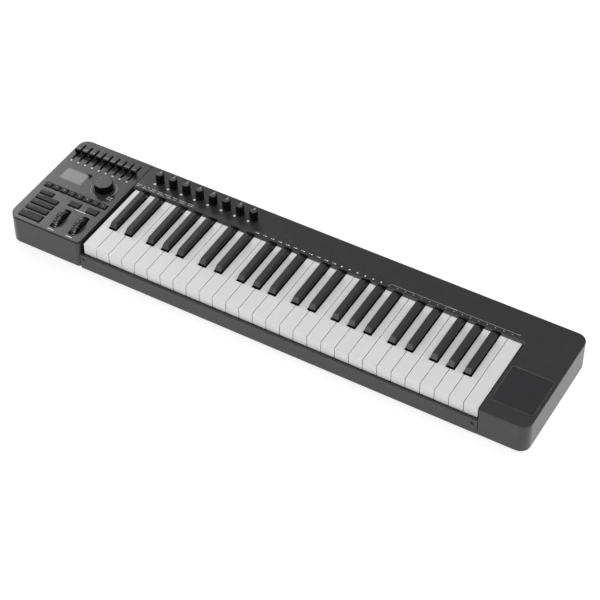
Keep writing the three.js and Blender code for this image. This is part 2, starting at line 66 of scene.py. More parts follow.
# ---- sizes, from the frame
TRAY_LOW, TRAY_HIGH = box_mm("base_tray")
DECK_LOW, DECK_HIGH = box_mm("main_deck")
PANEL_HIGH = box_mm("control_panel")[1]
RAIL_LOW, RAIL_HIGH = box_mm("front_rail")
MAT_LOW, MAT_HIGH = box_mm("button_mat")
DIAL_LOW, DIAL_HIGH = box_mm("menu_encoder")
KEY_LOW, KEY_HIGH = box_mm("white_key_01")

SEAM = 0.3
SIDE_X = TRAY_HIGH.x
FRONT_Y = TRAY_LOW.y
BACK_Y = TRAY_HIGH.y
CASE_TOP = DECK_HIGH.z
PLATE_Z = DECK_LOW.z
WALL_TOP = TRAY_HIGH.z
FOOT_H = RAIL_LOW.z
WELL_LEFT = (PANEL_HIGH.x + DECK_LOW.x) / 2
WELL_RIGHT = RAIL_HIGH.x + SEAM
CORNER_R = 17
WELL_CORNER_R = 8
WALL = 3
FLOOR_T = 2.5
CHEEK_T = 2.5
CORNER_STEP = 7.5
FILLET_STEPS = 3
FOOT = {"x": 415, "y": 80, "radius": 9}
FLOOR_SCREWS = [(x, y) for x in range(-360, 361, 180) for y in (-84, 60)]
FLOOR_SCREW = {"radius": 2.6, "well_radius": 3.2, "sunk": 1.9}

WHITE_COUNT = 29
WHITES_PER_OCTAVE = 7
OCTAVES = 4
KEY_GAP = 0.9
KEY_PITCH = (box_mm("white_key_29")[0].x - KEY_LOW.x) / (WHITE_COUNT - 1)
KEYS_LEFT = KEY_LOW.x - KEY_GAP / 2
KEY_TOP = KEY_HIGH.z
KEY_FRONT_Y = KEY_LOW.y
SLAB_T = 6
APRON_T = 2.5
SLAB_BACK_Y = 47
TAIL_Z = (38, 43)
TAIL_Y = (40, 71)
TAIL_W = 10
# A black key sits near the right edge of these white keys; the value is its offset from that edge.
BLACK_OFFSETS = {0: -2.6, 1: 2.6, 3: -4.1, 4: 0.0, 5: 3.9}
BLACK_BASE_W = 13
BLACK_CLEARANCE = 0.8
BLACK_FRONT_Y = KEY_FRONT_Y + 49.5
BLACK_BACK_Y = KEY_FRONT_Y + 136
BLACK_SLOPE = 6
BLACK_FOOT = 1.5
# Height of the painted shadow line at a black key's foot.
SHADOW_LINE_HEIGHT = 2.8
BLACK_RISE_FRONT = 10
BLACK_RISE_BACK = 12
BLACK_UNDER = 44
BLACK_LEAN = 2.1
COMB_Z = (45.5, 49.5)
COMB_Y = (52, 66)
ARM_W = 8

LIP_TOP_Y = KEY_FRONT_Y + 148.4
LIP_EDGE_Y = KEY_FRONT_Y + 144.9
LIP_EDGE_Z = KEY_TOP + 0.4
LIP_EDGE_T = 0.2
NOTCH_W = 15.6
RAIL_SCREW = {"xs": (KEYS_LEFT + 1.9, KEYS_LEFT + 676.4), "z": 23, "radius": 2.3}
RAIL_BORE = {"radius": 3, "depth": 2}

CONTROL_GAP = 0.6
BUTTON_GAP = 1.0
FADER_COUNT = 9
FADER_FIRST_X, FADER_REST_Y, _ = middle_mm("fader_01")
FADER_PITCH = (middle_mm("fader_09")[0] - FADER_FIRST_X) / (FADER_COUNT - 1)
FADER_XS = [FADER_FIRST_X + index * FADER_PITCH for index in range(FADER_COUNT)]
FADER_SLOT = {"y0": 55.25, "y1": 93.25, "width": 3.2}
FADER_CAP = {"width": 9.6, "depth": 6, "lift": 1.6, "top": box_mm("fader_01")[1].z}
KNOB_COUNT = 8
KNOB_FIRST_X, KNOB_Y, _ = middle_mm("knob_01")
KNOB_PITCH = (middle_mm("knob_08")[0] - KNOB_FIRST_X) / (KNOB_COUNT - 1)
KNOB_XS = [KNOB_FIRST_X + index * KNOB_PITCH for index in range(KNOB_COUNT)]
KNOB = {"radius": box_mm("knob_01")[1].x - KNOB_FIRST_X - 0.4, "top": CASE_TOP + 19.5, "rim": 1.35}
MARK_HALF_W = 0.5
DIAL_X, DIAL_Y, _ = middle_mm("menu_encoder")
DIAL_R = 15
WHEEL = {"radius": 24, "thickness": 10.5, "ribs": 32, "rib_depth": 0.8}
WHEEL_SLOT = {"width": 12.6, "length": 45, "radius": 3}
DISPLAY = {"x0": -435, "x1": -389, "y0": 4.5, "y1": 36.5, "fade": 6}
TOUCHPAD = {"box": (377.5, 445.5, -78.25, -2.25), "radius": 4, "rim": 1.0}
PAD_COUNT = 8
PAD = {"x": -435.1, "y": -16.35, "pitch": 14.96, "width": 11.5, "depth": 9.5}
COLUMN_X0 = -436.5
COLUMN_BUTTONS = (
    {"width": 22.5, "y0": -38.75, "y1": -30.45},
    {"width": 39, "y0": -51.25, "y1": -42.75},
    {"width": 39, "y0": -64.45, "y1": -55.75},
    {"width": 39, "y0": -78.25, "y1": -69.45},
    {"width": 39, "y0": -96.75, "y1": -83.35},
)
MAT_SHEET = {"thickness": 1.2, "split_y": -43, "narrow_x": (-438.5, -394)}
OCTAVE_BUTTONS = ((-380.8, -362, -40.75, -29.75), (-346.8, -328.5, -40.75, -29.75))
SOCKET_BLOCK = {"x0": -290, "x1": -190, "z0": 20}
SOCKET_Z = 33
USB_PORT = {"x": -274, "width": 8.4, "height": 7.8}
DIN_PORT = {"x": -246, "radius": 6.8}
JACK_PORT = {"x": -212, "radius": 3.3}
WORD_ROWS = (
    {"y": 57.0, "widths": (9, 3, 4, 8, 8, 12, 8, 13, 11)},
    {"y": 53.2, "widths": (6.5, 6.5, 11.5, 13, 8.5, 5, 11.5, 10)},
)
LETTER_PITCH = 1.7
SCALE_MARKS = {"first_x": 222.3, "count": 33, "dashes": 11, "pale_dots": 6}
INK = 0.06
INK_ROOT = 0.02
# Noise runs from 0 to 1 and stays mostly between these values.
NOISE_SPREAD = (0.3, 0.7)
WORLD_GLOW = 0.29
FLOOR_GLOW = 0.76
# A painted pool of light: the floor glows brighter beside the case's right end.
PAINTED_LIGHT_POOL = {"place": (0.62, 0.25, 0), "inner": 0.12, "outer": 0.5, "glow": 0.16}
CAMERA = {
    "place": (1.05790, -1.77430, 2.06542), "target": (0.036837, -0.032170, 0.052), "roll": -0.274,
    "sensor_width": 36.0, "lens": 113.655, "shift_x": 0.001075, "shift_y": -0.00616,
}


# ---- outlines
def polar(radius, angle):
    return Vector((radius * math.cos(angle), radius * math.sin(angle)))


def rounded_outline(corners, step=9.0):
    """A closed outline through (x, y, radius) corners, each corner turned on an arc of its radius."""
    outline = []
    count = len(corners)
    for index, (x, y, radius) in enumerate(corners):
        here = Vector((x, y))
        if radius <= 0:
            outline.append(here)
            continue
        before = (Vector(corners[index - 1][:2]) - here).normalized()
        after = (Vector(corners[(index + 1) % count][:2]) - here).normalized()
        half = before.angle(after) / 2
        centre = here + (before + after).normalized() * (radius / math.sin(half))
        start = here + before * (radius / math.tan(half)) - centre
        end = here + after * (radius / math.tan(half)) - centre
        first = math.atan2(start.y, start.x)
        sweep = (math.atan2(end.y, end.x) - first + math.pi) % math.tau - math.pi
        steps = max(2, math.ceil(abs(sweep) / math.radians(step)))
        outline += [centre + polar(radius, first + sweep * k / steps) for k in range(steps + 1)]
    return outline


def rectangle(x0, x1, y0, y1, radius=0.0, step=15.0):
    return rounded_outline([(x0, y0, radius), (x1, y0, radius), (x1, y1, radius), (x0, y1, radius)], step)


def inset_rectangle(box, inset, radius, step):
    """A rectangle (x0, x1, y0, y1) moved in on every side, or out where the inset is negative."""
    x0, x1, y0, y1 = box
    return rectangle(x0 + inset, x1 - inset, y0 + inset, y1 - inset, radius, step)


def circle(x, y, radius, segments=24):
    return [Vector((x, y)) + polar(radius, math.tau * k / segments) for k in range(segments)]


def moved_left(outline, distance):
    """The outline moved to its own left by a distance, corners kept sharp."""
    moved = []
    count = len(outline)
    for index, here in enumerate(outline):
        before = (here - outline[index - 1]).normalized()
        after = (outline[(index + 1) % count] - here).normalized()
        left = Vector((-before.y, before.x))
        normal = (left + Vector((-after.y, after.x))).normalized()
        moved.append(here + normal * (distance / normal.dot(left)))
    return moved


# ---- mesh code
def bridge(bm, low, high):
    """Faces between two closed rings of the same length, or between a ring and a single point."""
    count = max(len(low), len(high))
    for k in range(count):
        below = [low[k % len(low)], low[(k + 1) % len(low)]]
        above = [high[(k + 1) % len(high)], high[k % len(high)]]
        corners = list(dict.fromkeys(below + above))
        if len(corners) > 2:
            bm.faces.new(corners)


def cap(bm, rings):
    """One flat face, in triangles, bounded by an outer ring and the rings of its holes."""
    corners = [corner for ring in rings for corner in ring]
    for triangle in tessellate_polygon([[corner.co for corner in ring] for ring in rings]):
        bm.faces.new([corners[index] for index in triangle])


def quarter_turn(steps):
    return [math.pi / 2 * k / steps for k in range(steps + 1)]


def edge_levels(z0, z1, fillet, base_fillet=0.0):
    """(inset, height) steps up the side of a plate whose edges are rounded."""
    turns = quarter_turn(FILLET_STEPS)
    levels = [(0.0, z0)]
    if base_fillet > 0:
        levels = [(base_fillet * (1 - math.sin(t)), z0 + base_fillet * (1 - math.cos(t))) for t in turns]
    if fillet <= 0:
        return levels + [(0.0, z1)]
    return levels + [(fillet * (1 - math.cos(t)), z1 - fillet * (1 - math.sin(t))) for t in turns]


def plate(outer, z0, z1, holes=(), fillet=0.0, base_fillet=0.0, levels=None):
    """A flat solid with through holes and rounded edges. The outer outline runs counter-clockwise.

    Levels, if given, are the (inset, height) steps up its outer side.
    """
    bm = bmesh.new()
    loops = [list(outer)] + [list(reversed(hole)) for hole in holes]
    rounded = edge_levels(z0, z1, fillet, base_fillet)
    first_rings = []
    last_rings = []
    for index, loop in enumerate(loops):
        rings = []
        for inset, z in levels if levels and index == 0 else rounded:
            rings.append([bm.verts.new((p.x, p.y, z)) for p in moved_left(loop, inset)])
        for low, high in zip(rings, rings[1:]):
            bridge(bm, low, high)
        first_rings.append(rings[0])
        last_rings.append(rings[-1])
    cap(bm, first_rings)
    cap(bm, last_rings)
    return bm


def turned_points(bm, radius, z, segments, shape):
    """A ring of points about Z, or one point on it; shape(angle, radius, z) may give each its radius."""
    if radius == 0:
        return [bm.verts.new((0, 0, z))]
    turns = [math.tau * k / segments for k in range(segments)]
    reaches = [shape(turn, radius, z) if shape else radius for turn in turns]
    return [bm.verts.new((*polar(reach, turn), z)) for reach, turn in zip(reaches, turns)]


def turned(profile, segments, shape=None):
    """A solid of revolution about Z whose profile is these (radius, z) points."""
    bm = bmesh.new()
    rings = [turned_points(bm, radius, z, segments, shape) for radius, z in profile]
    for low, high in zip(rings, rings[1:]):
        bridge(bm, low, high)
    return bm


def turned_ring(section, segments, shape=None):
    """A closed ring about Z whose cross section is these (radius, z) points."""
    bm = bmesh.new()
    rings = [turned_points(bm, radius, z, segments, shape) for radius, z in section]
    for index, ring in enumerate(rings):
        bridge(bm, rings[index - 1], ring)
    return bm


def round_corner(radius, z, fillet, steps=4):
    """Profile points of a rounded outer top edge that ends at (radius - fillet, z)."""
    turns = quarter_turn(steps)
    return [(radius - fillet * (1 - math.cos(t)), z - fillet * (1 - math.sin(t))) for t in turns]


def extruded(outline, x0, x1):
    """A side outline in Y and Z, drawn out along X."""
    bm = bmesh.new()
    near = [bm.verts.new((x0, p[0], p[1])) for p in outline]
    far = [bm.verts.new((x1, p[0], p[1])) for p in outline]
    bridge(bm, near, far)
    bm.faces.new(near)
    bm.faces.new(list(reversed(far)))
    return bm


def joined_boxes(boxes):
    """One closed mesh round several boxes, each (x0, x1, y0, y1, z0, z1), with no walls inside."""
    bm = bmesh.new()
    cuts = [sorted({box[2 * axis + end] for box in boxes for end in (0, 1)}) for axis in range(3)]
    corners = {}

    def corner(place):
        if place not in corners:
            corners[place] = bm.verts.new([cuts[axis][place[axis]] for axis in range(3)])
        return corners[place]

    def filled(cell):
        if any(not 0 <= cell[axis] < len(cuts[axis]) - 1 for axis in range(3)):
            return False
        middle = [(cuts[axis][cell[axis]] + cuts[axis][cell[axis] + 1]) / 2 for axis in range(3)]
        return any(all(box[2 * a] < middle[a] < box[2 * a + 1] for a in range(3)) for box in boxes)

    sizes = [range(len(cut) - 1) for cut in cuts]
    for cell in [(i, j, k) for i in sizes[0] for j in sizes[1] for k in sizes[2]]:
        if not filled(cell):
            continue
        for axis in range(3):
            for side in (0, 1):
                beyond = tuple(cell[a] + (2 * side - 1) * (a == axis) for a in range(3))
                if filled(beyond):
                    continue
                u, v = [a for a in range(3) if a != axis]
                face = []
                for du, dv in ((0, 0), (1, 0), (1, 1), (0, 1)):
                    step = {axis: side, u: du, v: dv}
                    face.append(corner(tuple(cell[a] + step[a] for a in range(3))))
                bm.faces.new(face)
    bmesh.ops.recalc_face_normals(bm, faces=bm.faces)
    dissolve_flat(bm)
    return bm


def dissolve_flat(bm):
    """Joins faces that lie in one plane."""
    bmesh.ops.dissolve_limit(bm, angle_limit=math.radians(1), verts=bm.verts, edges=bm.edges)


def bevel_outside(bm, width, segments=3, least=30.0, chosen=None):
    """Rounds the convex edges, or those of them that chosen(edge) picks."""
    bmesh.ops.recalc_face_normals(bm, faces=bm.faces)
    edges = [e for e in bm.edges if e.is_convex and e.calc_face_angle(0) > math.radians(least)]
    if chosen:
        edges = [edge for edge in edges if chosen(edge)]
    bmesh.ops.bevel(
        bm, geom=edges, offset=width, offset_type="OFFSET", segments=segments, profile=0.5,
        affect="EDGES", clamp_overlap=True,
    )
    return bm


def merged(meshes):
    """Several meshes as one, each still closed by itself."""
    whole = bmesh.new()
    for bm in meshes:
        scratch = bpy.data.meshes.new("scratch")
        bm.to_mesh(scratch)
        bm.free()
        whole.from_mesh(scratch)
        bpy.data.meshes.remove(scratch)
    return whole


def placed(bm, matrix):
    bmesh.ops.transform(bm, matrix=matrix, verts=bm.verts)
    return bm


def shifted(bm, x, y, z=0.0):
    return placed(bm, Matrix.Translation((x, y, z)))


def facing_front(bm, y):
    """Turns a plate drawn in X and Z (as x, y) so that its top faces the player at this depth."""
    return placed(bm, Matrix(((1, 0, 0, 0), (0, 0, -1, y), (0, 1, 0, 0), (0, 0, 0, 1))))


def facing_back(bm, y):
    """Turns a plate drawn in X and Z (as -x, y) so that its top faces away from the player."""
    return placed(bm, Matrix(((-1, 0, 0, 0), (0, 0, 1, y), (0, 1, 0, 0), (0, 0, 0, 1))))


# ---- objects
def raw_object(name, bm):
    """A plain object in metres from mesh code in millimetres."""
    bmesh.ops.recalc_face_normals(bm, faces=bm.faces)
    bmesh.ops.scale(bm, vec=(MM, MM, MM), verts=bm.verts)
    mesh = bpy.data.meshes.new(name)
    bm.to_mesh(mesh)
    bm.free()
    piece = bpy.data.objects.new(name, mesh)
    bpy.context.scene.collection.objects.link(piece)
    return piece


def carve(piece, cutters):
    """Takes the cutters, given as mesh code, out of a piece."""
    tool = raw_object("cutter", merged(cutters))
    change = piece.modifiers.new("carve", "BOOLEAN")
    change.operation = "DIFFERENCE"
    change.solver = "EXACT"
    change.object = tool
    shown = piece.evaluated_get(bpy.context.evaluated_depsgraph_get())
    carved = bpy.data.meshes.new_from_object(shown)
    piece.modifiers.clear()
    piece.data = carved
    bpy.data.objects.remove(tool)
    return piece


def shade(piece, sharp=32.0):
    """Smooth shading with crisp edges where faces meet at more than this angle."""
    bm = bmesh.new()
    bm.from_mesh(piece.data)
    for face in bm.faces:
        face.smooth = True
    for edge in bm.edges:
        edge.smooth = edge.calc_face_angle(0) < math.radians(sharp)
    bm.to_mesh(piece.data)
    bm.free()
    weighted = piece.modifiers.new("weighted normals", "WEIGHTED_NORMAL")
    weighted.keep_sharp = True
    weighted.weight = 80
    return piece


def finished(piece, material, body="case", sharp=32.0, replaces=()):
    """Gives a piece its finish and material slot, and lets it ride on a CAD body."""
    piece.data.materials.clear()
    piece.data.materials.append(material)
    shade(piece, sharp)
    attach(piece, body)
    if replaces:
        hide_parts(*replaces)
    return piece


def make(name, bm, material, body="case", sharp=32.0, replaces=()):
    return finished(raw_object(name, bm), material, body, sharp, replaces)


# ---- finishes
class Finish:
    """Builds one node material step by step round a Principled shader."""

    def __init__(self, name):
        self.material = bpy.data.materials.new(name)
        self.material.use_nodes = True
        self.tree = self.material.node_tree
        self.shader = self.tree.nodes["Principled BSDF"]
        self.place = self.add("TexCoord", {}).outputs["Object"]

    def add(self, kind, inputs, **settings):
        """A new node, each of whose inputs is fed by another node's output or holds a plain value."""
        node = self.tree.nodes.new("ShaderNode" + kind)
        for setting, value in settings.items():
            setattr(node, setting, value)
        for socket, value in inputs.items():
            if isinstance(value, bpy.types.NodeSocket):
                self.tree.links.new(value, node.inputs[socket])
            else:
                node.inputs[socket].default_value = value
        return node

    def set(self, **values):
        for socket, value in values.items():
            self.shader.inputs[socket.replace("_", " ")].default_value = value
        return self

    def feed(self, socket, output):
        self.tree.links.new(output, self.shader.inputs[socket])
        return self

    def noise(self, scale, detail=3.0, roughness=0.55, place=None):
        """Noise over a place, or over the piece's own coordinates; scale is in waves per metre."""
        inputs = {"Vector": place or self.place, "Scale": scale, "Detail": detail, "Roughness": roughness}
        return self.add("TexNoise", inputs).outputs["Fac"]

    def spread(self, value, start, end, low, high, curve="LINEAR"):
        """A value's range from start to end, spread over low to high."""
        inputs = {"Value": value, "From Min": start, "From Max": end, "To Min": low, "To Max": high}
        return self.add("MapRange", inputs, interpolation_type=curve).outputs["Result"]

    def calculated(self, operation, one, other):
        return self.add("Math", {0: one, 1: other}, operation=operation).outputs["Value"]

    def mixed(self, factor, low, high):
        """A colour between low and high."""
        node = self.add("ValToRGB", {"Fac": factor})
        for stop, place, colour in zip(node.color_ramp.elements, (0.35, 0.65), (low, high)):
            stop.position = place
            stop.color = (*colour, 1)
        return node.outputs["Color"]

    def colour(self, factor, low, high):
        return self.feed("Base Color", self.mixed(factor, low, high))

    def two_colours(self, factor, one, other):
        """A base colour that goes from one to the other."""
        node = self.add("Mix", {"Factor": factor, "A": one, "B": other}, data_type="RGBA")
        return self.feed("Base Color", node.outputs["Result"])

    def roughness(self, factor, low, high):
        return self.feed("Roughness", self.spread(factor, *NOISE_SPREAD, low, high))

    def bump(self, height, depth_mm):
        """Surface relief of this depth in millimetres."""
        node = self.add("Bump", {"Distance": depth_mm * MM, "Height": height})
        return self.feed("Normal", node.outputs["Normal"])


def grey(value, blue=0.0):
    """A neutral colour, a little blue or warm."""
    return (value, value, value * (1 + blue))


def plastic(name, value, rough, grain, depth_mm, blue=0.0, spread=0.06, specular=0.5, metallic=0.0):
    """Moulded plastic: faint colour drift, uneven gloss and a fine spark-eroded grain."""
    finish = Finish(name)
    drift = finish.noise(35.0, 4.0)
    fine = finish.noise(grain, 2.0)
    finish.colour(drift, grey(value * (1 - spread), blue), grey(value * (1 + spread), blue))
    finish.roughness(fine, rough - 0.04, rough + 0.05)
    finish.bump(fine, depth_mm)
    return finish.set(Specular_IOR_Level=specular, Metallic=metallic).material


def brushed_dial():
    """Turned aluminium with fine lines that run out from the dial's centre."""
    finish = Finish("brushed_aluminium")
    location = (-DIAL_X * MM, -DIAL_Y * MM, 0)
    centred = finish.add("Mapping", {"Vector": finish.place, "Location": location}).outputs["Vector"]
    axes = finish.add("SeparateXYZ", {"Vector": centred}).outputs
    angle = finish.calculated("ARCTAN2", axes["Y"], axes["X"])
    around = finish.add("CombineXYZ", {"X": angle}).outputs["Vector"]
    lines = finish.noise(5.0, 5.0, 0.5, around)
    finish.colour(lines, grey(0.015), grey(0.11))
    finish.roughness(lines, 0.24, 0.38)
    finish.bump(lines, 0.03)
    return finish.set(Metallic=0.3).material


def smoked_screen():
    """A pale display that shows through the smoked cover and fades at its edges."""
    finish = Finish("screen")
    axes = finish.add("SeparateXYZ", {"Vector": finish.place}).outputs
    shown = 1.0
    for axis, edge, inward in (("X", "x0", 1), ("X", "x1", -1), ("Y", "y0", 1), ("Y", "y1", -1)):
        start = DISPLAY[edge] * MM
        end = start + inward * DISPLAY["fade"] * MM
        ramp = finish.spread(axes[axis], start, end, 0, 1, "SMOOTHSTEP")
        shown = finish.calculated("MULTIPLY", shown, ramp)
    drift = finish.noise(60.0)
    cover = finish.mixed(drift, grey(0.028), grey(0.030))
    finish.two_colours(shown, cover, finish.mixed(drift, grey(0.205), grey(0.225)))
    finish.roughness(finish.noise(1900.0, 2.0), 0.24, 0.33)
    return finish.material


def board_finish():
    """Green board lacquer with copper runs showing through; the socket block at the back is charcoal."""
    finish = Finish("board")
    stretched = finish.add("Mapping", {"Vector": finish.place, "Scale": (1.0, 0.15, 1.0)})
    runs = finish.noise(180.0, 1.0, place=stretched.outputs["Vector"])
    axes = finish.add("SeparateXYZ", {"Vector": finish.place}).outputs
    behind = finish.calculated("GREATER_THAN", axes["Y"], (BACK_Y - 2 * WALL) * MM)
    lacquer = finish.mixed(runs, (0.005, 0.022, 0.011), (0.008, 0.04, 0.018))
    finish.two_colours(behind, lacquer, finish.mixed(runs, grey(0.018), grey(0.022)))
    finish.roughness(runs, 0.3, 0.42)
    finish.bump(runs, 0.05)
    return finish.material


CASE_PLASTIC = plastic("case_charcoal", 0.029, 0.28, 1900.0, 0.02)
PAD_PLASTIC = plastic("touch_surface", 0.018, 0.32, 3200.0, 0.006, blue=0.12)
WHITE_PLASTIC = plastic("key_white", 0.72, 0.32, 900.0, 0.008, blue=-0.004, spread=0.012)
BLACK_PLASTIC = plastic("key_black", 0.028, 0.38, 1500.0, 0.01, specular=0.38)
GLOSS_BLACK = plastic("gloss_black", 0.003, 0.18, 1200.0, 0.01, spread=0.2, specular=0.22)
WHEEL_BLACK = plastic("wheel_black", 0.004, 0.2, 1400.0, 0.02, spread=0.2, specular=0.25)
WHEEL_TREAD = plastic("wheel_tread", 0.005, 0.11, 1400.0, 0.003, spread=0.2, specular=1.0)
# Grey of the knob tops; also the fader tops, partly painted sheen, and the dial ring, as a painted
# highlight.
GREY_CAP_AND_SHEEN = plastic("grey_cap_and_sheen", 0.06, 0.32, 1300.0, 0.06, spread=0.25)
# Paler grey of the touch pad's rim, a painted highlight on its edge.
RIM_HIGHLIGHT_GREY = plastic("pad_rim_highlight", 0.075, 0.4, 1900.0, 0.02)
# Painted light and shade on the black keys: darker shaded sides, a painted black shadow line at the foot,
# and a paler front slope as a painted highlight.
SHADED_KEY_SIDE = plastic("shaded_key_side", 0.016, 0.4, 1500.0, 0.01, specular=0.25)
LIT_KEY_SLOPE = plastic("lit_key_slope", 0.052, 0.37, 1500.0, 0.01, specular=0.46)
FOOT_SHADOW_BLACK = plastic("painted_foot_shadow", 0.001, 0.7, 1500.0, 0.01, specular=0.02)
BUTTON_RUBBER = plastic("button_rubber", 0.024, 0.5, 2200.0, 0.02, specular=0.35)
CHASSIS_PLASTIC = plastic("chassis_plastic", 0.05, 0.55, 700.0, 0.05, spread=0.15)
FOOT_RUBBER = plastic("foot_rubber", 0.025, 0.7, 1100.0, 0.06, spread=0.2)
PLATED_METAL = plastic("plated_metal", 0.52, 0.28, 1500.0, 0.01, spread=0.1, metallic=1.0)
DARK_METAL = plastic("blackened_steel", 0.10, 0.36, 1500.0, 0.01, spread=0.1, metallic=1.0)
SCREEN_GLASS = smoked_screen()
PRINT_INK = plastic("pale_print", 0.82, 0.5, 2600.0, 0.01, spread=0.03)
MARK_INK = plastic("index_print", 0.6, 0.5, 2600.0, 0.01)
# Dim print; also the painted highlight line on the fader caps.
DIM_INK_AND_HIGHLIGHT = plastic("dim_print_and_highlight", 0.38, 0.5, 2600.0, 0.01)
DARK_INK = plastic("dark_print", 0.004, 0.6, 2600.0, 0.01, specular=0.08)
BRUSHED = brushed_dial()
BOARD_FINISH = board_finish()


# ---- case
def tray_outline():
    """The walls from above: one run round the case, open where the front rail is."""
    inner = CORNER_R - WALL
    left = WELL_LEFT - CHEEK_T
    right = WELL_RIGHT + CHEEK_T
    front = FRONT_Y + WALL
    back = BACK_Y - WALL
    side = SIDE_X - WALL
    return rounded_outline([
        (WELL_RIGHT, LIP_TOP_Y, 0),
        (WELL_RIGHT, FRONT_Y, 1.5),
        (SIDE_X, FRONT_Y, CORNER_R),
        (SIDE_X, BACK_Y, CORNER_R),
        (-SIDE_X, BACK_Y, CORNER_R),
        (-SIDE_X, FRONT_Y, CORNER_R),
        (WELL_LEFT, FRONT_Y, WELL_CORNER_R),
        (WELL_LEFT, LIP_TOP_Y, 0),
        (left, LIP_TOP_Y, 0),
        (left, front, WELL_CORNER_R - WALL),
        (-side, front, inner),
        (-side, back, inner),
        (side, back, inner),
        (side, front, inner),
        (right, front, 0),
        (right, LIP_TOP_Y, 0),
    ], CORNER_STEP)


def make_walls():
    shell = plate(tray_outline(), FOOT_H, WALL_TOP, fillet=0.25, base_fillet=1.2)
    walls = raw_object("case_walls", shell)
    notch = joined_boxes([(
        SOCKET_BLOCK["x0"] - SEAM, SOCKET_BLOCK["x1"] + SEAM,
        BACK_Y - WALL - 1, BACK_Y + 1, SOCKET_BLOCK["z0"] - SEAM, CASE_TOP,
    )])
    carve(walls, [notch])
    finished(walls, CASE_PLASTIC, replaces=["base_tray"])


def make_floor_plate():
    """The flat underside, with its screw wells, inside the walls."""
    side = SIDE_X - WALL - 0.05
    outline = rectangle(-side, side, FRONT_Y + WALL + 1.6, BACK_Y - WALL - 0.05, CORNER_R - WALL, 9)
    wells = [circle(x, y, FLOOR_SCREW["well_radius"], 20) for x, y in FLOOR_SCREWS]
    floor = plate(outline, FOOT_H, FOOT_H + FLOOR_T, wells, base_fillet=0.4)
    make("case_floor", floor, CASE_PLASTIC)
    level = FOOT_H + FLOOR_SCREW["sunk"]
    heads = [shifted(screw_head(FLOOR_SCREW["radius"]), x, y, level) for x, y in FLOOR_SCREWS]
    make("floor_screws", turned_over(heads, level), PLATED_METAL)


def turned_over(meshes, z):
    """Several upright meshes as one, mirrored about a level."""
    return placed(merged(meshes), Matrix.Translation((0, 0, 2 * z)) @ Matrix.Scale(-1, 4, (0, 0, 1)))


def screw_head(radius):
    """A pan head with a cross recess, its rim at level 0."""
    arm = radius * 0.16
    reach = radius * 0.55
    cross = []
    corners = [(reach, -arm), (reach, arm), (arm, arm)]
    for _ in range(4):
        cross += [Vector(corner) for corner in corners]
        corners = [(-y, x) for x, y in corners]
    head = plate(circle(0, 0, radius, 28), 0, 1.1, [cross])
    for corner in head.verts:
        if corner.co.z > 1:
            corner.co.z -= 0.5 * (corner.co.xy.length / radius) ** 2
    base = plate(circle(0, 0, radius * 0.8, 24), -0.6, 0.05)
    return merged([head, base])


def make_feet():
    radius, top = FOOT["radius"], FOOT_H - 0.02
    profile = [(0, 0), (radius - 1, 0), (radius - 0.2, 0.5), (radius - 0.4, top), (0, top)]
    for index, (sx, sy) in enumerate([(-1, -1), (1, -1), (1, 1), (-1, 1)], 1):
        foot = shifted(turned(profile, 40), sx * FOOT["x"], sy * FOOT["y"])
        make(f"foot_{index}", foot, FOOT_RUBBER)


def make_front_rail():
    rail_t = RAIL_HIGH.y - RAIL_LOW.y
    outline = rectangle(RAIL_LOW.x, RAIL_HIGH.x, RAIL_LOW.z, RAIL_HIGH.z)
    bar = facing_front(plate(outline, 0, rail_t, fillet=0.7), FRONT_Y + rail_t)
    rail = raw_object("front_rail_bar", bar)
    xs, z, depth = RAIL_SCREW["xs"], RAIL_SCREW["z"], RAIL_BORE["depth"]
    bores = [plate(circle(x, z, RAIL_BORE["radius"], 32), -depth, 1) for x in xs]
    carve(rail, [facing_front(bore, FRONT_Y) for bore in bores])
    finished(rail, CASE_PLASTIC, replaces=["front_rail"])
    heads = [shifted(screw_head(RAIL_SCREW["radius"]), x, z) for x in xs]
    make("rail_screws", facing_front(merged(heads), FRONT_Y + depth - 0.55), DARK_METAL)


# ---- covers
def panel_outline():
    right = PANEL_HIGH.x
    return rounded_outline([
        (-SIDE_X, FRONT_Y, CORNER_R), (right, FRONT_Y, WELL_CORNER_R),
        (right, BACK_Y, 0), (-SIDE_X, BACK_Y, CORNER_R),
    ], CORNER_STEP)


def button_rects():
    """Every button cap as (name, x0, x1, y0, y1)."""
    rects = []
    for index in range(PAD_COUNT):
        x, y = PAD["x"] + index * PAD["pitch"], PAD["y"]
        half_w, half_d = PAD["width"] / 2, PAD["depth"] / 2
        rects.append((f"pad_button_{index + 1}", x - half_w, x + half_w, y - half_d, y + half_d))
    for index, button in enumerate(COLUMN_BUTTONS, 1):
        name = f"column_button_{index}"
        rects.append((name, COLUMN_X0, COLUMN_X0 + button["width"], button["y0"], button["y1"]))
    for index, rect in enumerate(OCTAVE_BUTTONS, 1):
        rects.append((f"octave_button_{index}", *rect))
    return rects


def make_control_panel():
    holes = []
    for _, *rect in button_rects():
        holes.append(inset_rectangle(rect, -BUTTON_GAP, 1.2, 30))
    half = FADER_SLOT["width"] / 2
    for x in FADER_XS:
        holes.append(rectangle(x - half, x + half, FADER_SLOT["y0"], FADER_SLOT["y1"], half * 0.9, 30))
    for node in ("pitch_wheel", "mod_wheel"):
        x, y, _ = middle_mm(node)
        half_w, half_l = WHEEL_SLOT["width"] / 2, WHEEL_SLOT["length"] / 2
        holes.append(rectangle(x - half_w, x + half_w, y - half_l, y + half_l, WHEEL_SLOT["radius"], 15))
    holes.append(circle(DIAL_X, DIAL_Y, 4, 20))
    low, high = PLATE_Z + 0.1, PLATE_Z + 1.7
    groove = [(0, PLATE_Z), (0, low), (1.4, low), (1.4, high)]
    sides = groove + edge_levels(high, CASE_TOP, 0.5)
    panel = plate(panel_outline(), PLATE_Z, CASE_TOP, holes, fillet=0.55, levels=sides)
    make("panel_cover", panel, CASE_PLASTIC, replaces=["control_panel"])


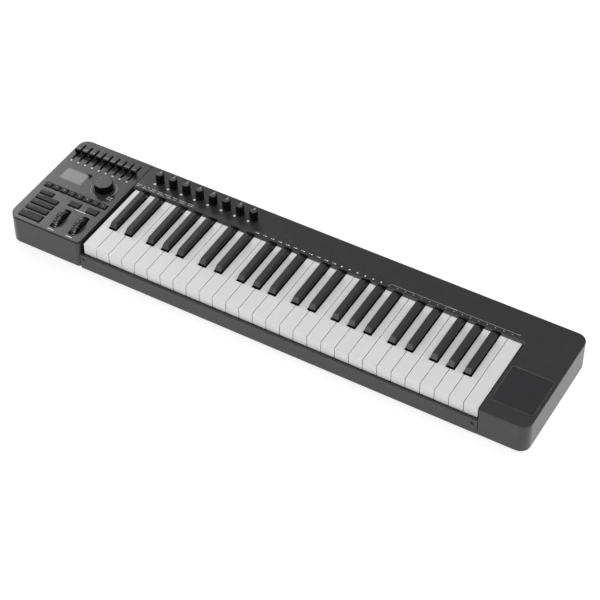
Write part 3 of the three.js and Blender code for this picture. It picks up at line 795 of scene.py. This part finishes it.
def make_deck():
    outline = rounded_outline([
        (DECK_LOW.x, LIP_TOP_Y, 0), (WELL_RIGHT, LIP_TOP_Y, 0), (WELL_RIGHT, FRONT_Y, 1.5),
        (SIDE_X, FRONT_Y, CORNER_R), (SIDE_X, BACK_Y, CORNER_R), (DECK_LOW.x, BACK_Y, 0),
    ], CORNER_STEP)
    holes = [circle(x, KNOB_Y, 4, 20) for x in KNOB_XS]
    holes.append(rectangle(*TOUCHPAD["box"], TOUCHPAD["radius"], 10))
    deck = plate(outline, PLATE_Z, CASE_TOP, holes, fillet=0.8)
    make("deck_cover", merged([deck, deck_lip()]), CASE_PLASTIC, replaces=["main_deck"])


def deck_lip():
    """The sloped edge over the keys, broken by a notch behind each black key."""
    edges = [DECK_LOW.x]
    for x in black_centres():
        edges += [x - NOTCH_W / 2, x + NOTCH_W / 2]
    edges.append(WELL_RIGHT)
    under = LIP_EDGE_Z - LIP_EDGE_T
    teeth = [plate(rectangle(x0, x1, LIP_EDGE_Y, LIP_TOP_Y), under, CASE_TOP)
             for x0, x1 in zip(edges[::2], edges[1::2])]
    lip = merged(teeth)
    for corner in lip.verts:
        if corner.co.z > under + 1:
            along = (corner.co.y - LIP_EDGE_Y) / (LIP_TOP_Y - LIP_EDGE_Y)
            corner.co.z = LIP_EDGE_Z + along * (CASE_TOP - 0.8 - LIP_EDGE_Z)
    return lip


def make_touch_pad():
    """A smooth plate in the cheek, with a thin rim round it, made paler as a painted highlight."""
    def inside(inset):
        return inset_rectangle(TOUCHPAD["box"], inset, TOUCHPAD["radius"] - inset, 10)

    rim_width = TOUCHPAD["rim"]
    surface = plate(inside(rim_width + 0.1), PLATE_Z, CASE_TOP - 0.05, fillet=0.1)
    make("touch_pad", surface, PAD_PLASTIC)
    # The rim's paler grey is a painted highlight.
    rim = plate(inside(0.1), PLATE_Z + 0.5, CASE_TOP, [inside(rim_width)], fillet=0.05)
    make("touch_pad_rim", rim, RIM_HIGHLIGHT_GREY)


# ---- keys
def black_centre(index):
    """Centre of the black key at the right edge of a white key, or None where there is none."""
    offset = BLACK_OFFSETS.get(index % WHITES_PER_OCTAVE)
    if index < 0 or index >= WHITE_COUNT - 1 or offset is None:
        return None
    return KEYS_LEFT + (index + 1) * KEY_PITCH + offset


def black_centres():
    centres = [black_centre(index) for index in range(WHITE_COUNT)]
    return [centre for centre in centres if centre is not None]


def white_boxes(index):
    """The boxes that make up one white key: its front, its narrower back, its apron and its tail."""
    left = KEYS_LEFT + index * KEY_PITCH + KEY_GAP / 2
    right = left + KEY_PITCH - KEY_GAP
    reach = BLACK_BASE_W / 2 + BLACK_CLEARANCE
    before, after = black_centre(index - 1), black_centre(index)
    back_left = left if before is None else max(left, before + reach)
    back_right = right if after is None else min(right, after - reach)
    notch_y = BLACK_FRONT_Y - BLACK_CLEARANCE
    middle = (back_left + back_right) / 2
    tail = (middle - TAIL_W / 2, middle + TAIL_W / 2)
    under = KEY_TOP - SLAB_T
    return [
        (left, right, KEY_FRONT_Y, notch_y, under, KEY_TOP),
        (left, right, KEY_FRONT_Y, KEY_FRONT_Y + APRON_T, KEY_LOW.z, KEY_TOP),
        (back_left, back_right, KEY_FRONT_Y + APRON_T, SLAB_BACK_Y, under, KEY_TOP),
        (*tail, TAIL_Y[0], SLAB_BACK_Y, TAIL_Z[0], KEY_TOP),
        (*tail, TAIL_Y[0], TAIL_Y[1], *TAIL_Z),
    ]


def make_white_keys():
    for index in range(WHITE_COUNT):
        name = f"white_key_{index + 1:02d}"
        key = bevel_outside(joined_boxes(white_boxes(index)), 0.5)
        make(f"{name}_shell", key, WHITE_PLASTIC, body=name, sharp=50, replaces=[name])


def black_key(x):
    """One black key: its sides lean in to a top that rises to the back, and its front slopes."""
    def half_width(z):
        return BLACK_BASE_W / 2 - BLACK_LEAN * max(0, z - KEY_TOP) / BLACK_RISE_BACK

    foot = KEY_TOP + BLACK_FOOT
    stations = [
        (BLACK_FRONT_Y, BLACK_UNDER), (BLACK_FRONT_Y, foot),
        (BLACK_FRONT_Y + BLACK_SLOPE, KEY_TOP + BLACK_RISE_FRONT),
        (BLACK_BACK_Y, KEY_TOP + BLACK_RISE_BACK), (BLACK_BACK_Y, BLACK_UNDER),
        (BLACK_FRONT_Y, KEY_TOP), (BLACK_BACK_Y, KEY_TOP),
    ]
    bm = bmesh.new()
    for y, z in stations:
        for side in (-1, 1):
            bm.verts.new((x + side * half_width(z), y, z))
    bmesh.ops.convex_hull(bm, input=bm.verts)
    dissolve_flat(bm)
    bevel_outside(bm, 1.5, 5, least=15, chosen=lambda e: max(v.co.z for v in e.verts) > KEY_TOP + 2)
    whole = list(bm.verts) + list(bm.edges) + list(bm.faces)
    # Cut at the top of the painted shadow line at the foot.
    bmesh.ops.bisect_plane(bm, geom=whole, plane_co=(0, 0, KEY_TOP + SHADOW_LINE_HEIGHT), plane_no=(0, 0, 1))
    return bm


def paint_key_shading(piece):
    """Painted shade on a black key's sides, a painted black shadow line at its foot and a paler front
    slope as a painted highlight.
    """
    side, foot, slope = 1, 2, 3
    for material in (SHADED_KEY_SIDE, FOOT_SHADOW_BLACK, LIT_KEY_SLOPE):
        piece.data.materials.append(material)
    shadow_line_z = (KEY_TOP + SHADOW_LINE_HEIGHT) * MM
    for face in piece.data.polygons:
        if face.center.z < shadow_line_z:
            face.material_index = foot
        elif face.normal.y < -0.6:
            face.material_index = slope
        elif face.normal.z < 0.45:
            face.material_index = side


def make_black_keys():
    centres = black_centres()
    per_octave = len(BLACK_OFFSETS)
    for octave in range(OCTAVES):
        body = f"black_keys_{octave + 1:02d}"
        own = centres[octave * per_octave:(octave + 1) * per_octave]
        half_base, half_arm = BLACK_BASE_W / 2, ARM_W / 2
        comb = [(own[0] - half_base, own[-1] + half_base, *COMB_Y, *COMB_Z)]
        comb += [(x - half_arm, x + half_arm, BLACK_BACK_Y - 3, COMB_Y[0] + 1, *COMB_Z) for x in own]
        rail = bevel_outside(joined_boxes(comb), 0.3, 2)
        make(f"{body}_comb", rail, BLACK_PLASTIC, body=body, replaces=[body])
        for step, x in enumerate(own):
            name = f"black_key_{octave * per_octave + step + 1:02d}"
            key = make(name, black_key(x), BLACK_PLASTIC, body=body, sharp=25)
            paint_key_shading(key)


# ---- controls
def fluted(flutes, depth, low, high):
    """A radius rule that cuts round flutes between two levels."""
    def shape(angle, radius, z):
        if not low <= z <= high:
            return radius
        return radius - depth * (0.5 - 0.5 * math.cos(flutes * angle)) ** 2
    return shape


def make_knobs():
    base = CASE_TOP + CONTROL_GAP
    radius, top = KNOB["radius"], KNOB["top"]
    skirt = [(0, base - 6), (3, base - 6), (3, base), (radius + 0.3, base), (radius + 0.3, base + 0.9)]
    grip = [(radius, base + 1.3), (radius, base + 2), (radius, top - 3.2), (radius, top - 2.4)]
    rim = round_corner(radius, top - 0.25, 0.6)
    body = skirt + grip + rim + [(radius - 1.4, top - 0.25), (radius - 1.4, top - 0.9), (0, top - 0.9)]
    face = top - 0.1
    disc = radius - 1.5
    cap_profile = [(0, face - 1), (disc, face - 1)] + round_corner(disc, face, 0.2, 2) + [(0, face)]
    ridges = fluted(18, 0.55, base + 1.5, top - 3)
    for index, x in enumerate(KNOB_XS, 1):
        name = f"knob_{index:02d}"
        grip_part = shifted(turned(body, 144, ridges), x, KNOB_Y)
        make(f"{name}_grip", grip_part, GLOSS_BLACK, body=name, replaces=[name])
        make(f"{name}_top", shifted(turned(cap_profile, 40), x, KNOB_Y), GREY_CAP_AND_SHEEN, body=name)
        line = rectangle(-MARK_HALF_W, MARK_HALF_W, radius * 0.1, radius - KNOB["rim"], 0.3, 30)
        mark = merged([plate(line, top - 0.6, top), index_notch(radius, top)])
        make(f"{name}_mark", shifted(mark, x, KNOB_Y), MARK_INK, body=name)


def index_notch(radius, top):
    """The index line where it runs over the knob's rim and down its side."""
    side = (-MARK_HALF_W, MARK_HALF_W)
    notch = joined_boxes([(*side, radius - KNOB["rim"], radius - 0.3, top - 3.2, top)])
    return bevel_outside(notch, 0.25, 2)


def make_dial():
    base = CASE_TOP + CONTROL_GAP
    top = DIAL_HIGH.z
    radius = DIAL_R
    flange = (DIAL_HIGH.x - DIAL_LOW.x) / 2
    x, y = DIAL_X, DIAL_Y
    skirt = [(0, base - 6), (3, base - 6), (3, base), (flange, base), (flange, base + 0.7)]
    skirt += [(flange - 0.5, base + 1.2), (radius - 0.5, base + 1.2)]
    grip = [(radius, base + 1.8), (radius, base + 2.4), (radius, top - 1.7), (radius, top - 1.2)]
    rim = [(radius - 0.3, top - 0.7), (radius - 1.0, top - 0.7), (0, top - 0.7)]
    knurl = fluted(48, 0.7, base + 2, top - 1.5)
    body = "menu_encoder"
    side = shifted(turned(skirt + grip + rim, 288, knurl), x, y)
    make("dial_grip", side, GLOSS_BLACK, body=body, replaces=[body])
    disc = radius - 0.7
    face = [(0, top - 0.9), (disc, top - 0.9)] + round_corner(disc, top, 0.45) + [(0, top)]
    make("dial_face", shifted(turned(face, 96), x, y), BRUSHED, body=body)
    # The flange ring is a paler grey as a painted highlight along the flange.
    inner = flange - 0.5
    ring = [(inner, base + 0.9), (flange, base + 0.9), (flange, base + 1.15), (inner, base + 1.3)]
    make("dial_ring", shifted(turned_ring(ring, 96), x, y), GREY_CAP_AND_SHEEN, body=body)


def make_wheels():
    """Wheels with a glossy, crowned and ribbed tread between duller flanks, on steel axles."""
    radius, half, ribs = WHEEL["radius"], WHEEL["thickness"] / 2, WHEEL["ribs"]
    tread_half = half - 0.7
    shoulder = radius - 2.0
    crown = [(radius - 0.9 * (k / 4) ** 2, tread_half * k / 4) for k in range(-4, 5)]
    tread = [(radius - 5, -tread_half)] + crown + [(radius - 5, tread_half)]
    side = [(shoulder, tread_half - 0.1), (radius - 2.2, half - 0.4), (radius - 3.4, half), (0, half)]
    flank = [(reach, -along) for reach, along in reversed(side)] + side
    axle = [(0, -8), (2.8, -8), (3, -7.8), (3, 7.8), (2.8, 8), (0, 8)]

    def ribbed(angle, reach, along):
        depth = WHEEL["rib_depth"] if abs(along) < tread_half * 0.8 and reach > shoulder else 0.0
        return reach - depth * (0.5 - 0.5 * math.cos(ribs * angle)) ** 4

    lay = Matrix.Rotation(math.radians(90), 4, "Y")
    for node in ("pitch_wheel", "mod_wheel"):
        place = Matrix.Translation(middle_mm(node)) @ lay
        rim = placed(turned_ring(tread, ribs * 8, ribbed), place)
        make(f"{node}_tread", rim, WHEEL_TREAD, body=node, replaces=[node])
        make(f"{node}_hub", placed(turned(flank, 120), place), WHEEL_BLACK, body=node)
        make(f"{node}_axle", placed(turned(axle, 24), place), PLATED_METAL, body=node)


def make_faders():
    """Black caps on flat stems; the grey top of each is partly its own colour and partly painted sheen,
    with a painted highlight line near its back edge.
    """
    half_d, half_w = FADER_CAP["depth"] / 2, FADER_CAP["width"] / 2
    top = FADER_CAP["top"]
    bottom = CASE_TOP + FADER_CAP["lift"]
    block = [
        (-half_d, bottom), (half_d, bottom), (half_d, top - 0.9), (half_d - 0.4, top - 0.5),
        (-half_d + 1.9, top - 0.5), (-half_d + 1.6, top - 0.1), (-half_d + 0.5, top - 0.1),
        (-half_d, top - 0.7),
    ]
    grip = [
        (-half_d + 2.2, top - 0.9), (half_d - 0.1, top - 0.9), (half_d - 0.1, top - 0.3),
        (half_d - 0.3, top - 0.1), (-half_d + 2.4, top - 0.1),
    ]
    rest_y = FADER_REST_Y
    highlight_y = rest_y + half_d - 0.8
    for index, x in enumerate(FADER_XS, 1):
        name = f"fader_{index:02d}"
        cap_block = shifted(extruded(block, x - half_w, x + half_w), 0, rest_y)
        bevel_outside(cap_block, 0.3, 2, least=60)
        make(f"{name}_cap", cap_block, GLOSS_BLACK, body=name, replaces=[name])
        # Grey top: partly its own colour, partly painted sheen where the black cap faces the light.
        cap_top = shifted(extruded(grip, x - half_w + 0.3, x + half_w - 0.3), 0, rest_y)
        make(f"{name}_top", bevel_outside(cap_top, 0.2, 2, least=60), GREY_CAP_AND_SHEEN, body=name)
        stem = joined_boxes([(x - 0.5, x + 0.5, rest_y - 2, rest_y + 2, CASE_TOP - 6.8, bottom + 0.5)])
        make(f"{name}_stem", stem, GLOSS_BLACK, body=name)
        # A painted highlight line along the back edge of the cap's top.
        half_l = half_w - 0.6
        line = joined_boxes([(x - half_l, x + half_l, highlight_y - 0.3, highlight_y + 0.3, top - 0.3, top)])
        make(f"{name}_line", line, DIM_INK_AND_HIGHLIGHT, body=name)


def make_buttons():
    top, split = MAT_LOW.z + MAT_SHEET["thickness"], MAT_SHEET["split_y"]
    mat = joined_boxes([
        (MAT_LOW.x, MAT_HIGH.x, split, MAT_HIGH.y, MAT_LOW.z, top),
        (*MAT_SHEET["narrow_x"], MAT_LOW.y, split + 1, MAT_LOW.z, top),
    ])
    make("button_sheet", mat, BUTTON_RUBBER, body="button_mat", replaces=["button_mat"])
    for name, *rect in button_rects():
        button = plate(inset_rectangle(rect, 0.3, 0.9, 30), MAT_LOW.z + 1, MAT_HIGH.z - INK, fillet=0.4)
        make(name, button, BUTTON_RUBBER, body="button_mat")


# ---- prints
def printed(outline, thickness=INK):
    """A print on the covers, its root just under their surface."""
    return plate(outline, CASE_TOP - INK_ROOT, CASE_TOP + thickness)


def dash(x0, x1, y0, y1):
    return printed(rectangle(x0, x1, y0, y1))


def dashes(count, x, pitch, width, y0, y1):
    """A row of dashes, each this wide, the first one's left end at x."""
    return [dash(x + pitch * k, x + pitch * k + width, y0, y1) for k in range(count)]


def dot(x, y, radius):
    return printed(circle(x, y, radius, 20))


def ring_arc(x, y, radius, width, start, end):
    """A flat printed arc, between two angles in degrees."""
    steps = 24
    turns = [math.radians(start + (end - start) * k / steps) for k in range(steps + 1)]
    centre = Vector((x, y))
    outer = [centre + polar(radius + width / 2, t) for t in turns]
    inner = [centre + polar(radius - width / 2, t) for t in reversed(turns)]
    return printed(outer + inner)


def make_panel_prints():
    pale = [dot(x, FADER_SLOT["y0"] - 4.2, 1.5) for x in FADER_XS]
    for node in ("pitch_wheel", "mod_wheel"):
        x, y, _ = middle_mm(node)
        front = y - WHEEL_SLOT["length"] / 2
        pale += dashes(5, x - 5.4, 2.3, 1.7, front - 6, front - 4.2)
    pale += dashes(7, -365, 2.7, 2.1, -44.6, -43.0)
    for row in range(2):
        y = DIAL_Y - 12 - 4.4 * row
        pale += dashes(3, DIAL_X + 16.4, 3.1, 2.2, y - 1.4, y)
    make("panel_prints", merged(pale), PRINT_INK)
    dim = [dash(-376, -366, -44.1, -43.5), dash(-345, -335, -44.1, -43.5)]
    for start, end in ((165, 238), (-22, 62)):
        dim.append(ring_arc(DIAL_X, DIAL_Y, 21, 0.8, start, end))
    make("panel_lines", merged(dim), DIM_INK_AND_HIGHLIGHT)
    marker = [Vector(p) for p in ((-397.3, 36.8), (-392, 31.8), (-386.1, 26), (-386.3, 36.8))]
    dark = [printed(marker, 2 * INK), dot(-375.5, 20.5, 1.0)]
    make("panel_marker", merged(dark), DARK_INK)


def make_deck_prints():
    pale = [dot(x - 5.9, KNOB_Y - 7.5, 2.3) for x in KNOB_XS]
    for row in WORD_ROWS:
        pale += word_marks(KEYS_LEFT - 3, KEYS_LEFT + 104, row["y"], row["widths"])
    semitone = KEY_PITCH * 7 / 12
    first = KEYS_LEFT + SCALE_MARKS["first_x"]
    dotted = SCALE_MARKS["dashes"]
    dimmed = dotted + SCALE_MARKS["pale_dots"]
    dim = []
    for index in range(SCALE_MARKS["count"]):
        x = first + index * semitone
        if index < dotted:
            pale += [dash(x - 2.5, x - 1.3, 52.5, 54.1), dash(x + 0.2, x + 3.6, 52.7, 54.1)]
        elif index < dimmed:
            pale.append(dot(x, 53.2, 1.3))
        else:
            dim.append(dot(x, 53.2, 1.0))
    line_x0, line_x1 = first + dimmed * semitone, first + 32.6 * semitone
    dim.append(dash(line_x0, line_x1, 56.8, 57.4))
    pale += dashes(6, 241, 3, 1.9, 56.4, 57.8)
    dim.append(ring_arc(line_x1 + 1.6, 57.1, 1.6, 0.5, 0, 359))
    make("deck_prints", merged(pale), PRINT_INK)
    make("deck_lines", merged(dim), DIM_INK_AND_HIGHLIGHT)


def word_marks(x0, x1, y, widths):
    """A row of words as groups of short dashes, the groups spread evenly between two ends."""
    marks = []
    gap = (x1 - x0 - sum(widths)) / (len(widths) - 1)
    for width in widths:
        count = max(2, round(width / LETTER_PITCH))
        step = width / count
        for letter in range(count):
            left = x0 + letter * step
            middle = y + 0.3 * math.sin(2.4 * letter + width)
            marks.append(dash(left, left + 0.68 * step, middle - 0.45, middle + 0.45))
        x0 += width + gap
    return marks


def make_button_icons():
    """Plain shapes in place of the printed icons and words."""
    low, high = MAT_HIGH.z - INK - INK_ROOT, MAT_HIGH.z
    icons = []
    for index in range(PAD_COUNT):
        x = PAD["x"] + index * PAD["pitch"] - 0.6
        icons.append(plate(circle(x, PAD["y"] + 0.4, 1.2, (3, 4, 20)[index % 3]), low, high))
    for button in COLUMN_BUTTONS:
        for k in range(4):
            x = COLUMN_X0 + 2.2 + 2.3 * k
            y = button["y1"] - 2.6
            icons.append(plate(rectangle(x, x + 1.7, y, y + 0.6), low, high))
    make("button_icons", merged(icons), DIM_INK_AND_HIGHLIGHT, body="button_mat")


def make_display():
    outline = rectangle(*(DISPLAY[edge] for edge in ("x0", "x1", "y0", "y1")))
    make("display_glass", printed(outline), SCREEN_GLASS)


# ---- rear
def make_rear_sockets():
    """Shells round the sockets on the back; the openings are in the CAD block."""
    half_w, half_h = USB_PORT["width"] / 2, USB_PORT["height"] / 2
    usb_x = -USB_PORT["x"]
    usb_box = (usb_x - half_w, usb_x + half_w, SOCKET_Z - half_h, SOCKET_Z + half_h)
    opening = rectangle(*usb_box, 0.6, 30)
    rings = [plate(inset_rectangle(usb_box, -0.9, 1, 30), -0.4, 0, [opening], fillet=0.1)]
    for port, wide in ((DIN_PORT, 1.6), (JACK_PORT, 2.2)):
        outer = circle(-port["x"], SOCKET_Z, port["radius"] + wide, 40)
        inner = circle(-port["x"], SOCKET_Z, port["radius"], 40)
        rings.append(plate(outer, -0.4, 0, [inner], fillet=0.15))
    make("socket_shells", facing_back(merged(rings), BACK_Y), PLATED_METAL)


# ---- stage
def make_cad_finishes():
    for node, material in (("main_board", BOARD_FINISH), ("keybed_chassis", CHASSIS_PLASTIC)):
        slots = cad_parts[node].data.materials
        slots.clear()
        slots.append(material)


def floor_finish():
    """A pale floor that glows a little, with a painted pool of light beside the right end, as under a
    light from the side.
    """
    finish = Finish("pale_floor")
    drift = finish.noise(2.0)
    finish.colour(drift, grey(0.32), grey(0.34))
    finish.set(Roughness=0.9, Emission_Color=(1, 1, 1, 1))
    light_pool = PAINTED_LIGHT_POOL
    away = finish.add("VectorMath", {0: finish.place, 1: light_pool["place"]}, operation="DISTANCE")
    reach = (light_pool["inner"], light_pool["outer"])
    bright = FLOOR_GLOW + light_pool["glow"]
    glow = finish.spread(away.outputs["Value"], *reach, bright, FLOOR_GLOW, "SMOOTHSTEP")
    return finish.feed("Emission Strength", glow).material


def make_stage():
    floor = raw_object("floor", plate(rectangle(-6000, 6000, -6000, 6000), -20, 0))
    floor.data.materials.append(floor_finish())

    world = bpy.data.worlds.new("studio")
    bpy.context.scene.world = world
    world.use_nodes = True
    background = world.node_tree.nodes["Background"]
    background.inputs["Color"].default_value = (1, 1, 1, 1)
    background.inputs["Strength"].default_value = WORLD_GLOW


def area_light(name, place, target, size, power):
    data = bpy.data.lights.new(name, "AREA")
    data.shape = "RECTANGLE"
    data.size, data.size_y = size
    data.energy = power
    lamp = bpy.data.objects.new(name, data)
    bpy.context.scene.collection.objects.link(lamp)
    lamp.location = place
    lamp.rotation_euler = (Vector(target) - Vector(place)).to_track_quat("-Z", "Y").to_euler()


def make_lights():
    area_light("back_left_softbox", (-3.33, 2.45, 3.0), (0, 0, 0.05), (1.5, 1.7), 43)
    area_light("back_right_softbox", (1.9, 1.5, 2.7), (0.1, 0, 0), (1.6, 1.6), 19)
    area_light("overhead_softbox", (0.1, 0.1, 2.7), (0.1, 0, 0), (2.6, 1.8), 22)
    area_light("front_softbox", (-0.5, -3.2, 1.15), (0.1, 0, 0.05), (1.5, 0.8), 17)
    area_light("front_top_strip", (-0.4, -2.4, 2.4), (0.1, 0, 0), (2.2, 0.16), 18)
    area_light("left_strip", (-3.0, -0.3, 0.5), (-0.3, 0, 0.05), (0.8, 0.15), 5)
    area_light("right_fill", (3.4, -0.2, 1.6), (0.3, 0, 0), (1.8, 1.4), 12)


def make_camera():
    data = bpy.data.cameras.new("camera")
    data.sensor_width = CAMERA["sensor_width"]
    data.lens = CAMERA["lens"]
    data.shift_x = CAMERA["shift_x"]
    data.shift_y = CAMERA["shift_y"]
    camera = bpy.data.objects.new("camera", data)
    bpy.context.scene.collection.objects.link(camera)
    place = Vector(CAMERA["place"])
    roll = Matrix.Rotation(math.radians(CAMERA["roll"]), 4, "Z")
    turn = (Vector(CAMERA["target"]) - place).to_track_quat("-Z", "Y").to_matrix().to_4x4()
    camera.matrix_world = Matrix.Translation(place) @ turn @ roll
    bpy.context.scene.camera = camera


def make_all():
    make_camera()
    make_stage()
    make_lights()
    make_cad_finishes()
    make_walls()
    make_floor_plate()
    make_feet()
    make_front_rail()
    make_control_panel()
    make_deck()
    make_touch_pad()
    make_white_keys()
    make_black_keys()
    make_knobs()
    make_dial()
    make_wheels()
    make_faders()
    make_buttons()
    make_panel_prints()
    make_deck_prints()
    make_button_icons()
    make_display()
    make_rear_sockets()
    bpy.context.scene.view_settings.view_transform = "Standard"


make_all()
